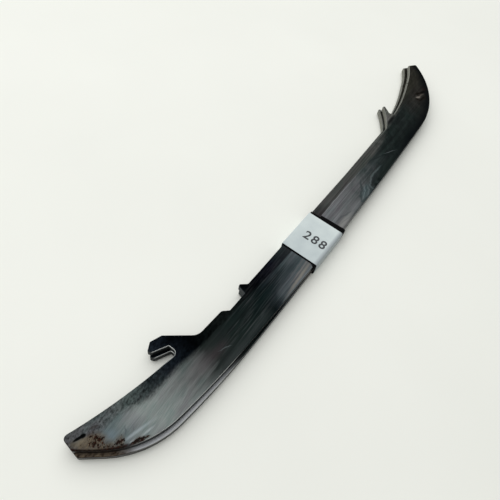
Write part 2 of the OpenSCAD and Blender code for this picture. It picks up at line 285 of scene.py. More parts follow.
steel = {
    # tone of the ground face below the holder's line, by mm from the toe: stains with the room's reflection
    # painted in
    "face": [(0, "#4a4946"), (10, "#4b5255"), (26, "#6c7270"), (37, "#626665"), (56, "#1d2120"),
             (72, "#131a19"), (89, "#070d0e"), (103, "#1a1f22"), (118, "#3f4548"), (150, "#58595b"),
             (166, "#4f5152"), (190, "#2a2f2f"), (208, "#191f1e"), (242, "#1c2120"), (262, "#2a2926"),
             (287, "#282723")],
    # tone of the strip that the holder covers, with the room's reflection painted in as well
    "strip": [(0, "#3d3e3e"), (12, "#454849"), (22, "#3f4544"), (33, "#1f2426"), (45, "#10151a"),
              (55, "#020304"), (72, "#0e1211"), (92, "#020305"), (106, "#0b0c13"), (118, "#212526"),
              (141, "#242223"), (147, "#2c2b2b"), (153, "#393938"), (184, "#3c3d3b"), (206, "#40413f"),
              (220, "#282d2a"), (228, "#525350"), (240, "#44443f"), (250, "#2a2a24"), (287, "#282723")],
    # lower edge of that strip, mm from the top edge by mm from the toe
    "line": [(0, 5.5), (17, 3.6), (23, 1.6), (32, -1.0), (44, -1.2), (50, -1.9), (58, -2.5), (88, -3.6),
             (117, -5.0), (153, -4.6), (174, -4.2), (192, -4.9), (215, -2.4), (226, 0.4), (287, 6.0)],
    # how far that edge is blurred, mm by mm from the toe
    "softness": [(0, 1.2), (20, 1.8), (42, 1.6), (70, 0.5), (190, 0.5), (212, 1.6), (287, 1.6)],
    # working edge: painted shade along it at the heel, and a painted highlight on the lower runner's strip
    # where its toe stands out past the upper one: share on each runner, mm from the edge and mm from the toe
    # where it starts and where it is in full
    "edges": [
        {"tone": "#090c0e", "upper_runner": 0.9, "lower_runner": 0.9, "from": (8, 0.8), "along": (196, 226)},
        {"tone": "#9b9da0", "upper_runner": 0.0, "lower_runner": 0.8, "from": (4, 2.6), "along": (66, 46)},
    ],
    "lineDepth": 0.8,  # depth of the grinding lines against that of the lanes
    "tint": [(0, "#d8ebe8"), (0.5, "#ffffff"), (1, "#efe4ec")],  # green and mauve cast of the stains
    "tintShare": 0.7,
    # how the edges of the listed marks are shaken: mm between waves, mm to each side, share on broad marks
    "shakeSize": 2.5,
    "shake": (0.8, 0.4, 0),
    "steady": 0.4,
    "roughness": (0.32, 0.46),
    "rustRoughness": 0.4,  # added by rust
    "gloss": (0.5, 0.06),  # specular level, bare and under rust
    "lineRelief": 0.14,  # height of the grinding lines against that of the specks
    "relief": {"Strength": 0.3, "Distance": 0.05 * mm},
    "lowAngle": (0.5, 0.5, 0.5, 1),  # the film takes the sheen off at low angles
    "wet": oval((183.0, -10.0), (20.0, 8.0), 1, soft=0.5),  # where water has dried
    "sheen": oval((94.0, -9.0), (32.0, 7.0), 0.13, "#606364", soft=0.35),  # painted sheen: light streaks in the dark part
    "marked": "upper_runner",  # the one with the listed marks and the rust patches
    "blots": [
        oval((4.8, 5.8), (3.6, 1.3), 0.6, "#6f6859", turn=-40),
        oval((10.2, 7.0), (1.3, 0.5), 0.6, "#2a2725", turn=-25, soft=0.6),
        oval((11.0, 0.9), (2.6, 1.7), 0.5, "#5d6970", turn=-30),
        # rubbed at the toe
        oval((17.8, -5.4), (5.4, 0.5), 0.32, "#a0aab0", turn=-14, soft=0.9),
        oval((13.6, -6.3), (1.8, 0.3), 0.4, "#a0aab0", turn=-6, soft=0.7),
        oval((20.3, -8.2), (2.4, 0.4), 0.35, "#a6acae", turn=-10),
        # oil and film in the dark part
        oval((62.0, -15.0), (11.0, 1.3), 0.22, "#454a4a"),
        oval((47.5, -7.6), (8.0, 3.4), 0.3, "#514b4d"),
        oval((58.8, -8.8), (5.0, 1.6), 0.4, "#332d2f"),
        oval((89.5, -9.0), (7.0, 2.2), 0.5, "#081615"),
        oval((108.5, -9.9), (8.5, 1.7), 0.55, "#1d2225"),
        oval((80.0, -14.4), (6.0, 1.4), 0.1, "#5a6262"),
        # rubbed on both sides of the band
        oval((108.0, -15.3), (9.0, 0.6), 0.5, "#7d786f", turn=4),
        oval((112.0, -13.6), (8.0, 0.35), 0.5, "#6c6966", turn=3),
        oval((113.0, -11.6), (7.0, 0.4), 0.35, "#5f5f60", turn=3),
        oval((147.5, -15.0), (6.5, 1.4), 0.45, "#848380", soft=0.7),
        oval((160.5, -14.4), (6.0, 1.6), 0.3, "#78797b"),
        oval((160, -4.75), (19.0, 0.16), 0.5, "#7a7c7c", soft=0.7),  # holder's line
        # dried water
        oval((171.5, -13.6), (5.0, 1.9), 0.5, "#455153", turn=15, soft=0.6),
        oval((179.8, -15.4), (1.2, 0.7), 0.8, "#0c1111", soft=0.6),
        oval((183.9, -14.9), (1.3, 0.8), 0.8, "#0b1010", soft=0.6),
        oval((193.9, -10.2), (0.8, 1.7), 0.6, "#161d1e", turn=-20, soft=0.6),
        oval((206.0, -10.1), (3.6, 0.18), 0.35, "#747c7e", turn=-26, soft=0.6),
        # dent at the heel hook, its shade painted as a near-black mark; rust bloom near the heel's end
        oval((229.3, 1.2), (4.8, 0.9), 0.9, "#050709", turn=3, soft=0.6),
        oval((269.5, -1.8), (1.5, 1.1), 0.6, "#35231e"),
        oval((262.3, -5.0), (1.9, 1.2), 0.6, "#271d0e", soft=0.7),
        oval((259.8, -2.0), (1.5, 0.75), 0.9, "#6d6862", turn=-30, soft=0.5),
    ],
    "gouges": [
        # gouges at the toe: their shade painted as near-black marks, the steel is not cut
        oval((4.3, 8.3), (2.3, 0.5), 1, "#030404", turn=-20, soft=0.3),
        oval((5.6, 7.8), (1.2, 0.75), 1, "#030404", turn=-20, soft=0.3),
    ],
    "strokes": [
        # scratches
        stroke([(14.8, -2.8), (16.8, -1.2)], 0.22, 0.6, "#3f4548", soft=0.6),
        stroke([(16.6, -4.3), (18.1, -3.4)], 0.2, 0.5, "#474d50", soft=0.6),
        stroke([(59.8, -9.4), (63.6, -11.2)], 0.22, 0.5, "#4d5455", soft=0.6),
        stroke([(145.3, -12.2), (149.4, -12.4), (155.0, -14.2)], 0.4, 0.55, "#3c3f41"),
        stroke([(146.0, -14.4), (151.0, -15.4)], 0.3, 0.4, "#44474a"),
        # tide lines of the dried water
        stroke([(175.9, -8.4), (171.4, -11.6), (167.2, -13.2), (164.9, -15.5)], 0.5, 0.65, "#252e2f"),
        stroke([(164.9, -15.5), (170.1, -16.2), (175.8, -15.5), (177.3, -13.5)], 0.4, 0.6, "#2b3435"),
        stroke([(168.6, -14.8), (173.6, -13.2), (176.4, -11.4)], 0.35, 0.5, "#2f393a"),
        stroke([(166.6, -14.9), (170.6, -13.8), (174.4, -11.3)], 0.3, 0.35, "#647072", soft=0.8),
        stroke([(170.4, -15.6), (174.2, -14.4), (175.8, -12.2)], 0.3, 0.35, "#5e6a6c", soft=0.8),
        stroke([(175.9, -8.4), (186.4, -8.6), (194.2, -6.6)], 0.7, 0.45, "#232a2b", soft=0.8),
        stroke([(191.0, -12.5), (184.0, -12.5), (179.5, -14.2)], 0.9, 0.5, "#141b1c"),
        stroke([(192.2, -11.1), (185.6, -10.7), (180.8, -11.9), (177.0, -13.2), (176.1, -15.8)],
               0.4, 0.38, "#566162", soft=0.8),
        stroke([(194.5, -6.0), (199.0, -7.6), (203.5, -9.7)], 0.3, 0.65, "#0f1516"),
        # rust bloom
        stroke([(261.0, 0.4), (263.6, -0.7), (268.0, -2.8)], 0.75, 0.9, "#0f0b07", soft=0.5),
        stroke([(257.3, -2.1), (257.8, -4.3), (262.3, -4.4)], 0.6, 0.85, "#120d08", soft=0.5),
        stroke([(260.6, -2.0), (264.8, -2.9)], 0.4, 0.8, "#5b554d", soft=0.5),
    ],
}
steelGrain = {  # mm along and across, the values that it spans, degrees
    "wave": {"size": (24.0, 7.0), "span": (-3.0, 3.0), "turn": 6},  # mm by which the tones wander
    "streak": {"size": (16.0, 1.2), "span": (-3.0, 3.0)},
    "curl": {"size": (14.0, 5.5), "span": (-6.0, 6.0), "turn": 25, "detail": 2, "swirl": 1.2},
    "ragged": {"size": (9.0, 1.6), "span": (-0.4, 0.4)},  # mm by which the holder's line wanders
    "lanes": {"size": (60.0, 0.9), "span": (-1.0, 1.0), "turn": 0.6, "detail": 3},
    # real grinding lines are finer, these are as coarse as they need to be to show
    "lines": {"size": (22.0, 0.22), "span": (-1.0, 1.0), "turn": 0.6, "detail": 3},
    "strokes": {"size": (8.0, 0.24), "span": (0.8, 1.18), "turn": 9},
    "pits": {"size": (1.2, 0.75), "span": (0.2, 1.55), "turn": 20, "detail": 6},
    "mottle": {"size": (5.0, 2.4), "span": (0.65, 1.4), "turn": 40, "detail": 5, "swirl": 0.8},
    "sheen": {"size": (13.0, 0.4), "span": (-1.5, 1.7), "turn": 1.5, "detail": 5},
    "tint": {"size": (11.0, 4.0), "span": (0, 1), "turn": 10, "detail": 3},
}
fades = {  # where something starts and where it is in full, in mm from the toe if nothing else is said
    "lead": between(-8, -17, high=23),  # from the top edge; mm by which the tones are ahead
    "pastDark": between(86, 98),
    "ground": between(45, 90, 0.1, 0.32),  # depth of lanes and lines
    "rubbed": between(66, 40),
    "old": between(130, 60),
    "mottled": between(192, 215),
}
rust = {
    "patches": [  # middle and half size in mm, turn in degrees
        {"at": (5.6, 2.0), "size": (6.0, 2.6), "turn": -52, "soft": 0.7, "film": 0.75, "specks": 0.1},
        {"at": (7.2, 3.2), "size": (3.3, 2.4), "turn": -45, "soft": 0.7, "film": 0.8, "specks": 0.78},
        {"at": (8.7, -1.4), "size": (2.4, 1.2), "turn": -50, "soft": 0.7, "film": 0.7, "specks": 0.55},
        {"at": (3.4, 3.0), "size": (1.5, 0.8), "turn": -60, "soft": 0.7, "film": 0.7, "specks": 0.55},
        {"at": (11.3, -3.7), "size": (2.5, 1.6), "turn": 37, "soft": 0.7, "film": 0.65, "specks": 0.85},
        {"at": (16.0, -7.9), "size": (2.5, 1.1), "turn": -25, "soft": 0.5, "film": 0.5, "specks": 1.0},
        {"at": (18.7, -9.3), "size": (1.5, 0.45), "turn": -32, "soft": 0.5, "film": 0.4, "specks": 0.85},
    ],
    # share of film and specks along the toe's working edge, how far it reaches in and where it ends, in mm,
    # and how far the specks are broken up; on the upper runner the dark specks also stand for painted shade
    # between the runners
    "toeEdge": {
        "upper_runner": {"film": 0.0, "specks": 0.95, "reach": 1.8, "until": 19, "broken": (0.85, 1.1)},
        "lower_runner": {"film": 0.9, "specks": 0.9, "reach": 3.6, "until": 15, "broken": (-0.8, 1.2)},
    },
    "inwardFade": 1.1,  # mm
    "endFade": 7,  # mm
    "film": [(0, "#3a2d1b"), (0.5, "#55452f"), (1, "#75664e")],
    "specks": [(0, "#040201"), (0.4, "#0d0503"), (0.7, "#230c06"), (1, "#3e1e10")],
    "speckFade": between(0.5, 0.84, high=0.95),
    "grain": {
        "film": {"size": (1.4, 0.9), "span": (0, 1), "turn": -15, "detail": 5},
        "specks": {"size": (0.9, 0.7), "span": (0, 1), "turn": 10, "detail": 5},
        "cloud": {"size": (2.4, 1.6), "span": (0.55, 1.1)},
        "flecks": {"size": (1.2, 0.9), "span": (-0.55, 0.55), "turn": 20, "detail": 6},
        "broken": {"size": (1.7, 0.8), "detail": 5},
    },
}


def steelTone(tree, place, x, y):
    wave = grain(tree, place, **steelGrain["wave"])
    curl = grain(tree, place, **steelGrain["curl"])
    wet = spot(tree, place, steel["wet"])
    lead = addNode(tree, "MapRange", None, {"Value": y, **fades["lead"]})
    past = addNode(tree, "MapRange", smooth, {"Value": x, **fades["pastDark"]})
    waved = addNode(tree, "Math", total, {0: x, 1: wave})
    moved = addNode(tree, "Math", productSum, {0: lead, 1: past, 2: waved})
    moved = addNode(tree, "Math", productSum, {0: curl, 1: wet, 2: moved})
    moved = addNode(tree, "Math", total, {0: moved, 1: grain(tree, place, **steelGrain["streak"])})
    above = addNode(tree, "Math", difference, {0: y, 1: heightAlong(tree, x, steel["line"])})
    above = addNode(tree, "Math", total, {0: above, 1: grain(tree, place, **steelGrain["ragged"])})
    soft = heightAlong(tree, x, steel["softness"], low=0, high=4)
    above = addNode(tree, "Math", quotient, {0: above, 1: soft})
    covered = addNode(tree, "MapRange", smooth, {"Value": above, **between(-1, 1)})
    colour = addNode(tree, "Mix", colours, {
        0: covered, 6: tonesAlong(tree, moved, steel["face"]), 7: tonesAlong(tree, waved, steel["strip"])})
    return colour, covered


def steelStreaks(tree, place, x, covered):  # brightness: lanes and lines, rubbed toe, pits, mottled heel
    lanes = grain(tree, place, **steelGrain["lanes"])
    lines = grain(tree, place, **steelGrain["lines"])
    depth = addNode(tree, "MapRange", smooth, {"Value": x, **fades["ground"]})
    level = addNode(tree, "Math", productSum, {0: lanes, 1: depth, 2: 1.0})
    fine = addNode(tree, "Math", product, {0: lines, 1: depth})
    level = addNode(tree, "Math", productSum, {0: fine, 1: steel["lineDepth"], 2: level})
    rubbed = addNode(tree, "MapRange", smooth, {"Value": x, **fades["rubbed"]})
    old = addNode(tree, "MapRange", None, {"Value": x, **fades["old"]})
    pitted = addNode(tree, "Math", product, {0: covered, 1: old})
    mottled = addNode(tree, "MapRange", smooth, {"Value": x, **fades["mottled"]})
    for share, pattern in ((rubbed, "strokes"), (pitted, "pits"), (mottled, "mottle")):
        drawn = grain(tree, place, **steelGrain[pattern])
        shown = addNode(tree, "Mix", numbers, {0: share, 2: 1.0, 3: drawn})
        level = addNode(tree, "Math", product, {0: level, 1: shown})
    return level, lines


def sheenAndTint(tree, colour, place):
    # a painted sheen in streaks, then the cast of the stains
    streaks = grain(tree, place, **steelGrain["sheen"])
    sheen = addNode(tree, "Math", clamped, {0: streaks, 1: spot(tree, place, steel["sheen"])})
    colour = addNode(tree, "Mix", colours, {0: sheen, 6: colour, 7: linear(steel["sheen"]["tone"])})
    tint = addNode(tree, "ValToRGB", {"stops": steel["tint"]}, {
        "Fac": grain(tree, place, **steelGrain["tint"])})
    return addNode(tree, "Mix", {**colours, "blend_type": "MULTIPLY"}, {
        0: steel["tintShare"], 6: colour, 7: tint})


def edgeTones(tree, colour, name, x, inward):
    # painted shade at the heel's working edge and a painted highlight on the lower runner's toe strip
    for edge in steel["edges"]:
        near = addNode(tree, "MapRange", smooth, {
            "Value": inward, **between(*edge["from"], high=edge[name])})
        here = addNode(tree, "MapRange", smooth, {"Value": x, **between(*edge["along"])})
        share = addNode(tree, "Math", product, {0: near, 1: here})
        colour = addNode(tree, "Mix", colours, {0: share, 6: colour, 7: linear(edge["tone"])})
    return colour


def rustTones(tree, place):  # tan film and dark red specks
    tones = []
    for layer in ("film", "specks"):
        drawn = grain(tree, place, **rust["grain"][layer])
        tones.append(addNode(tree, "ValToRGB", {"stops": rust[layer]}, {"Fac": drawn}))
    return tones


def rustShares(tree, name, place, x, inward):  # film and specks of the patches and the toe's edge
    shares = {"film": 0.0, "specks": 0.0}
    for patch in rust["patches"] if name == steel["marked"] else []:
        for layer in shares:
            here = spot(tree, place, {**patch, "share": patch[layer]})
            shares[layer] = addNode(tree, "Math", larger, {0: here, 1: shares[layer]})
    cloud = grain(tree, place, **rust["grain"]["cloud"])
    film = addNode(tree, "Math", clamped, {0: shares["film"], 1: cloud})
    flecks = grain(tree, place, **rust["grain"]["flecks"])
    specks = addNode(tree, "Math", total, {0: shares["specks"], 1: flecks})
    specks = addNode(tree, "MapRange", smooth, {"Value": specks, **rust["speckFade"]})
    toeEdge = rust["toeEdge"][name]
    reach, until = toeEdge["reach"], toeEdge["until"]
    near = addNode(tree, "MapRange", smooth, {
        "Value": inward, **between(reach, reach - rust["inwardFade"])})
    toe = addNode(tree, "MapRange", smooth, {"Value": x, **between(until, until - rust["endFade"])})
    edge = addNode(tree, "Math", product, {0: near, 1: toe})
    broken = grain(tree, place, span=toeEdge["broken"], **rust["grain"]["broken"])
    layers = []
    for layer, share, ragged in (("film", film, 1.0), ("specks", specks, broken)):
        rim = addNode(tree, "Math", product, {0: edge, 1: toeEdge[layer]})
        rim = addNode(tree, "Math", clamped, {0: rim, 1: ragged})
        layers.append(addNode(tree, "Math", larger, {0: share, 1: rim}))
    return layers


def stainedSteel(name, turn, edge):
    # Surface ground lengthwise, then handled: dark film, drying marks, rust; the room's reflection along its
    # length and a sheen in streaks are painted into the colour
    material, tree, shader = newMaterial("stainless steel, surface ground and stained")
    place, x, y = runnerPlace(tree, turn)
    inward = addNode(tree, "Math", difference, {0: y, 1: heightAlong(tree, x, edge)})
    colour, covered = steelTone(tree, place, x, y)
    level, lines = steelStreaks(tree, place, x, covered)
    colour = addNode(tree, "VectorMath", scaledBy, {0: colour, "Scale": level})
    colour = sheenAndTint(tree, colour, place)
    waves = addNode(tree, "TexNoise", {"normalize": False}, {
        "Vector": place, "Scale": 1 / steel["shakeSize"], "Detail": 4})
    shaken = addNode(tree, "VectorMath", productSum, {
        0: waves.outputs["Color"], 1: steel["shake"], 2: place})
    steady = addNode(tree, "Mix", {"data_type": "VECTOR"}, {0: steel["steady"], 4: place, 5: shaken})
    marked = name == steel["marked"]
    if marked:
        colour = withMarks(tree, colour, steady, steel["blots"])
        colour = withMarks(tree, colour, shaken, sum(steel["strokes"], []))
    colour = edgeTones(tree, colour, name, x, inward)
    film, specks = rustShares(tree, name, place, x, inward)
    filmTone, speckTone = rustTones(tree, place)
    colour = addNode(tree, "Mix", colours, {0: film, 6: colour, 7: filmTone})
    colour = addNode(tree, "Mix", colours, {0: specks, 6: colour, 7: speckTone})
    if marked:
        colour = withMarks(tree, colour, steady, steel["gouges"])
    cover = addNode(tree, "Math", larger, {0: film, 1: specks})
    bare = addNode(tree, "Math", difference, {0: 1.0, 1: cover})
    dull = addNode(tree, "MapRange", None, {"Value": lines, **between(-1, 1, *steel["roughness"])})
    dull = addNode(tree, "Math", productSum, {0: cover, 1: steel["rustRoughness"], 2: dull})
    gloss = addNode(tree, "MapRange", None, {"Value": specks, **between(0, 1, *steel["gloss"])})
    relief = addNode(tree, "Math", productSum, {0: lines, 1: steel["lineRelief"], 2: specks})
    bump = addNode(tree, "Bump", None, {**steel["relief"], "Height": relief})
    addNode(tree, shader, None, {
        "Base Color": colour, "Metallic": bare, "Roughness": dull, "Normal": bump,
        "Specular IOR Level": gloss, "Specular Tint": steel["lowAngle"]})
    return material


# Die roll rubbed bright where the runner is handled and clamped, with highlights painted onto its rims and
# shade painted in at the toe and the heel's corner
rimLook = {
    "name": "stainless steel, die roll rubbed bright",
    # tone of the rounded rim, by mm from the toe: light where highlights are painted in, dark at the toe
    # where the shade between the runners is painted in
    "tones": [(0, "#15110e"), (12, "#1d1a18"), (22, "#5a5d5d"), (36, "#33383a"), (56, "#1b2022"),
              (108, "#20262a"), (140, "#4f5152"), (200, "#4c4f4d"), (218, "#6f706b"), (287, "#7d7d75")],
    "marks": [  # hook's lip and worn working edge with painted highlights, heel's corner with painted shade
        oval((45.6, 7.0), (4.8, 4.4), 1, "#b2b5b3", soft=0.1),
        oval((267.1, 9.2), (0.5, 1.0), 0.8, "#2c2c29", soft=0.4),
        oval((39.0, -13.2), (22.0, 6.0), 1, "#c6c8c5", turn=-12, soft=0.35),
    ],
    "wear": {"size": (3.0, 1.0), "span": (0.8, 1.15)},
    "surface": {"Metallic": 1, "Roughness": 0.42},
}
# Blanked edge: burnished band over torn band, so it is matt with short marks across the thickness
cutLook = {
    "name": "stainless steel, blanked edge",
    # tone of the edge faces, by mm from the toe: shade painted in dark at the hook, light painted in at the
    # heel
    "tones": [(0, "#4d4842"), (25, "#45484a"), (36, "#2b3032"), (60, "#1e2426"), (85, "#3c4144"),
              (120, "#3b4145"), (190, "#5a5d5a"), (215, "#86867e"), (287, "#8c8c83")],
    "marks": [],
    "wear": {"size": (0.5, 0.5), "span": (0.75, 1.15)},  # coarser than a real tear so that it shows
    "surface": {"Metallic": 0.7, "Roughness": 0.62},
}


def edgeSteel(look, turn):
    material, tree, shader = newMaterial(look["name"])
    place, x, _ = runnerPlace(tree, turn)
    colour = withMarks(tree, tonesAlong(tree, x, look["tones"]), place, look["marks"])
    wear = grain(tree, place, **look["wear"])
    colour = addNode(tree, "VectorMath", scaledBy, {0: colour, "Scale": wear})
    addNode(tree, shader, None, {"Base Color": colour, **look["surface"]})
    return material


hollowLook = {
    # tone of the ground hollow, by mm from the toe, dark at the toe where the shade between the runners is
    # painted in
    "tones": [(0, "#12100d"), (14, "#111010"), (24, "#141617"), (58, "#1d1f20"), (80, "#1d2021"),
              (100, "#2a2a29"), (117, "#55504a"), (150, "#4a4b4b"), (190, "#3c3f40"), (230, "#1d2021"),
              (287, "#1b1d1e")],
    # lengthwise lines, coarser than real ones so that they show
    "ground": {"size": (14, 14, 0.4), "span": (0.7, 1.25), "rough": 0.5},
    "flecks": {"size": (1.3, 0.7), "span": (0, 1), "detail": 5},
    "fleckFade": between(0.15, 0.6),
    "rusty": between(18, 8, high=0.2),  # mm from the toe
    "roughness": 0.36,
}


def hollowSteel(turn):
    # Hollow ground with a dressed wheel: lengthwise lines with a brighter sheen, brown at the toe
    material, tree, shader = newMaterial("stainless steel, hollow ground")
    place, x, _ = runnerPlace(tree, turn)
    ground = grain(tree, place, **hollowLook["ground"])
    colour = addNode(tree, "VectorMath", scaledBy, {
        0: tonesAlong(tree, x, hollowLook["tones"]), "Scale": ground})
    filmTone, speckTone = rustTones(tree, place)
    flecks = grain(tree, place, **hollowLook["flecks"])
    flecks = addNode(tree, "MapRange", smooth, {"Value": flecks, **hollowLook["fleckFade"]})
    crust = addNode(tree, "Mix", colours, {0: flecks, 6: filmTone, 7: speckTone})
    rusty = addNode(tree, "MapRange", smooth, {"Value": x, **hollowLook["rusty"]})
    colour = addNode(tree, "Mix", colours, {0: rusty, 6: colour, 7: crust})
    bare = addNode(tree, "Math", difference, {0: 1.0, 1: rusty})
    addNode(tree, shader, None, {
        "Base Color": colour, "Metallic": bare, "Roughness": hollowLook["roughness"]})
    return material


# Runners: the blank with a die roll round it and a hollow ground into the working edge
runner = {
    "rim": 0.14,  # mm, die roll on the blanked edges
    "lipRim": 0.26,  # mm, burnished lip of the toe hook
    "lip": ((40, 50), (2, 11)),  # mm along and up, where that lip is
    "heelRim": 0.4,  # mm, burnished heel hook
    "heelFrom": 221,  # mm from the toe, where that hook starts
    "bayRim": 0.75,  # mm, rounded edge of the bay behind that hook
    "bayFrom": 240,  # mm from the toe, where the bay starts
    "edgeRim": 0.14,  # mm, ground working edge
    "rimSteps": 4,
    "blend": 2,  # points to each side over which one rim runs into the next
    "hollow": 0.09,  # mm, depth of the hollow
    "fade": 6,  # points over which the hollow fades out
    "sideSteps": 8,
    "edgeSteps": 36,  # points of the working edge's line for the materials
    "sharp": 40,  # degrees, above which an edge isn't smoothed
    "flat": 0.9,  # upward part of a normal, above which a face is part of the flat top
    "merge": 1e-7,  # m
    "least": 1e-6,  # mm, shortest step along the working edge
}


def outlineOf(node):  # corner points of the flat top, counter-clockwise from the toe tip
    bm = bmesh.new()
    bm.from_mesh(node.data)
    bmesh.ops.remove_doubles(bm, verts=bm.verts, dist=runner["merge"])
    following = {}
    for face in bm.faces:
        if face.normal.z > runner["flat"]:
            for loop in face.loops:
                if any(other.normal.z < runner["flat"] for other in loop.edge.link_faces):
                    following[loop.vert] = loop.link_loop_next.vert
    start = min(following, key=lambda v: v.co.x)
    points = [start.co.copy()]
    here = following[start]
    while here != start:
        points.append(here.co.copy())
        here = following[here]
    bm.free()
    return points


def rimWidth(x, y, ground):
    (lipStart, lipEnd), (lipLow, lipHigh) = runner["lip"]
    if ground:
        return runner["edgeRim"]
    if x > runner["bayFrom"]:
        return runner["bayRim"]
    if x > runner["heelFrom"]:
        return runner["heelRim"]
    if lipStart < x < lipEnd and lipLow < y < lipHigh:
        return runner["lipRim"]
    return runner["rim"]


def workingEdge(points):  # heights of the working edge at even steps from the toe
    line = []
    for k in range(runner["edgeSteps"] + 1):
        x = runnerLength * k / runner["edgeSteps"]
        after = next((i for i in range(1, len(points)) if points[i].x >= x), len(points) - 1)
        a, b = points[after - 1], points[after]
        share = min(1, max(0, (x - a.x) / max(b.x - a.x, runner["least"])))
        line.append((x, a.y + (b.y - a.y) * share))
    return line


def sideProfile():  # rows down the side: shares of the rim's inset and depth, and of the side
    steps = runner["rimSteps"]
    rows = []
    for i in range(steps + 1):
        angle = math.pi / 2 * i / steps
        rows.append((1 - math.sin(angle), 1 - math.cos(angle), 0))
    lower = [(inset, below, 1) for inset, below, _ in rows[::-1]]
    for i in range(1, runner["sideSteps"]):
        rows.append((0, 1, i / runner["sideSteps"]))
    return rows + lower


def mitersOf(points):  # steps at the corners that move both of their sides outwards by one
    miters = []
    for i in range(len(points)):
        first = (points[i] - points[i - 1]).normalized()
        second = (points[(i + 1) % len(points)] - points[i]).normalized()
        outward = Vector((first.y + second.y, -first.x - second.x, 0))
        miters.append(outward / (1 + first.dot(second)))
    return miters


def rimsOf(own, heel):  # rim at each corner, running into the next
    plain = [rimWidth(point.x, point.y, i <= heel) * mm for i, point in enumerate(own)]
    reach = range(-runner["blend"], runner["blend"] + 1)
    return [sum(plain[(i + k) % len(own)] for k in reach) / len(reach) for i in range(len(own))]


def hollowsOf(count, heel):  # depth of the hollow at each corner, fading out at both ends
    deep = runner["hollow"] * mm
    return [deep * min(1, max(0, min(i, heel - i)) / runner["fade"]) for i in range(count)]


def sideRings(bm, points, heights, rims, hollows):  # rings of corners from the top face to the bottom one
    low, high = heights
    rings = []
    for inset, below, down in sideProfile():
        ring = []
        for point, miter, rim, hollow in zip(points, mitersOf(points), rims, hollows):
            z = high - rim * below
            if down == 1:
                z = low + rim * below
            elif down > 0:
                z = high - rim - (high - low - 2 * rim) * down
            bowl = hollow * (1 - (2 * down - 1) ** 2)
            place = point - miter * (rim * inset + bowl)
            ring.append(bm.verts.new((place.x, place.y, z)))
        rings.append(ring)
    return rings


def buildRunner(name, turn):
    low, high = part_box(name)
    points = outlineOf(frame["nodes"][name])
    count = len(points)
    unturn = Matrix.Rotation(-turn, 3, "Z")
    own = [(unturn @ p - Vector((toeTip, topEdge, 0))) / mm for p in points]
    heel = max(range(count), key=lambda i: own[i].x)  # the working edge runs from the first point to it
    bm = bmesh.new()
    rings = sideRings(bm, points, (low.z, high.z), rimsOf(own, heel), hollowsOf(count, heel))
    stained, rim, cut, hollow = range(4)  # order of the materials
    for r in range(len(rings) - 1):
        for i in range(count):
            j = (i + 1) % count
            face = bm.faces.new((rings[r][i], rings[r + 1][i], rings[r + 1][j], rings[r][j]))
            face.smooth = True
            face.material_index = rim if r < runner["rimSteps"] else hollow if i < heel else cut
    for ends in (rings[0], rings[-1][::-1]):
        bm.faces.new(ends).material_index = stained
    for edge in bm.edges:
        edge.smooth = edge.calc_face_angle(0) < math.radians(runner["sharp"])
    mesh = bpy.data.meshes.new(name + "_steel")
    bm.to_mesh(mesh)
    bm.free()
    face = stainedSteel(name, turn, workingEdge(own[:heel + 1]))
    for material in (face, edgeSteel(rimLook, turn), edgeSteel(cutLook, turn), hollowSteel(turn)):
        mesh.materials.append(material)
    return newPiece(name + "_steel", mesh, name, name)


buildRunner("upper_runner", 0)
buildRunner("lower_runner", fanTurn)

# Rust grains strewn over the patches at the upper runner's toe
rustGrains = {
    "cell": 0.5,  # mm, squares that the grains are strewn over
    "margin": 0.5,  # mm that they keep from the outline
    "perSquareMm": 1.7,
    "radius": 0.16,  # mm
    "least": (0.3, 0.2, 0.1),  # share of the radius
    "most": (1.5, 1.1, 0.4),
    "seed": 11,
    "look": {
        "tones": [(0.35, "#0e0503"), (0.55, "#2c130a"), (0.7, "#4d3222")],
        "cloud": 0.9,  # mm
        "surface": {"Roughness": 0.9, "Specular IOR Level": 0.06},
    },
}


def grainsTree():
    inputs = {"Field": "Geometry", "Density": "Float", "Radius": "Float", "Surface": "Material"}
    tree, given = geometryTree("rustGrains", inputs, "Grains")
    strewn = addNode(tree, "GeometryNodeDistributePointsOnFaces", None, {
        "Mesh": given["Field"], "Density": given["Density"], "Seed": rustGrains["seed"]})
    lump = addNode(tree, "GeometryNodeMeshIcoSphere", None, {"Radius": given["Radius"], "Subdivisions": 1})
    turns = addNode(tree, "FunctionNodeRandomValue", vectors, {
        0: (0, 0, 0), 1: (0, 0, math.tau), "Seed": rustGrains["seed"]})
    sizes = addNode(tree, "FunctionNodeRandomValue", vectors, {
        0: rustGrains["least"], 1: rustGrains["most"], "Seed": rustGrains["seed"] + 1})
    laid = addNode(tree, "GeometryNodeInstanceOnPoints", None, {
        "Points": strewn, "Instance": lump, "Rotation": turns, "Scale": sizes})
    return endTree(tree, laid, given["Surface"], "Grains")


def inside(x, y, outline):
    crossings = 0
    for a, b in zip(outline, outline[1:] + outline[:1]):
        if (a.y > y) != (b.y > y) and x < a.x + (b.x - a.x) * (y - a.y) / (b.y - a.y):
            crossings += 1
    return crossings % 2 == 1


def rustCells(outline):  # squares of a grid in mm that lie in a patch and on the steel
    step = rustGrains["cell"]
    reach = step / 2 + rustGrains["margin"]
    cells = set()
    for patch in rust["patches"]:
        turned = Matrix.Rotation(math.radians(-patch["turn"]), 2)
        span = math.ceil(max(patch["size"]) / step)
        for i in range(-span, span + 1):
            for j in range(-span, span + 1):
                away = turned @ Vector((i * step, j * step))
                x = round(patch["at"][0] / step + i) * step
                y = round(patch["at"][1] / step + j) * step
                within = (away.x / patch["size"][0]) ** 2 + (away.y / patch["size"][1]) ** 2 < 1
                sides = ((reach, 0), (-reach, 0), (0, reach), (0, -reach))
                if within and all(inside(x + dx, y + dy, outline) for dx, dy in sides):
                    cells.add((x, y))
    return sorted(cells)


